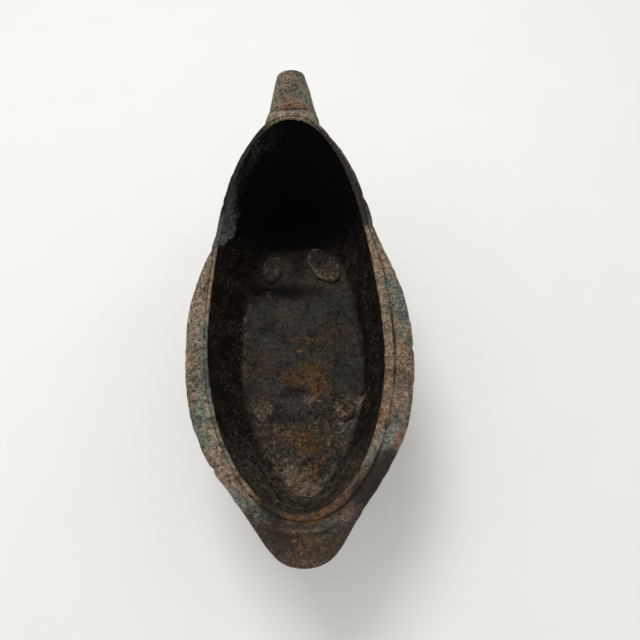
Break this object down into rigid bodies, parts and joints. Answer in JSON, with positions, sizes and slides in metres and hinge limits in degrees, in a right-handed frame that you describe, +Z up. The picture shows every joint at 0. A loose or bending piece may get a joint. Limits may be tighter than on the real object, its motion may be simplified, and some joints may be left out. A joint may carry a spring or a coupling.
{
  "type": "bronze yi water vessel",
  "caption": "Boat-shaped bronze pouring bowl with a broad flat lip, pointed thumb tongue over a strap handle, tubular spout and splayed legs.",
  "frame": {"origin": "on the table plane under the middle of the vessel's length and width", "axes": "+Y toward the spout, -Y toward the handle, +X across the width, +Z up"},
  "size_m": [0.148, 0.3282, 0.1753],
  "materials": {
    "patinated_bronze": "cast bronze under a matt brown patina with green and tan corrosion",
    "spout_bronze": "cast bronze, grey-brown patina with tan crust and a green patch",
    "handle_bronze": "cast bronze, dark brown patina, worn lighter where it is held",
    "leg_bronze": "cast bronze, grey-brown patina",
    "chaplet_bronze": "cast bronze spacer, slightly yellower than the floor round it"
  },
  "bodies": {
    "root": {"body": "patinated_bronze", "spout": "spout_bronze", "handle": "handle_bronze", "chaplets": "chaplet_bronze", "rear_left_leg": "leg_bronze", "rear_right_leg": "leg_bronze", "front_left_leg": "leg_bronze", "front_right_leg": "leg_bronze"}
  },
  "joints": []
}
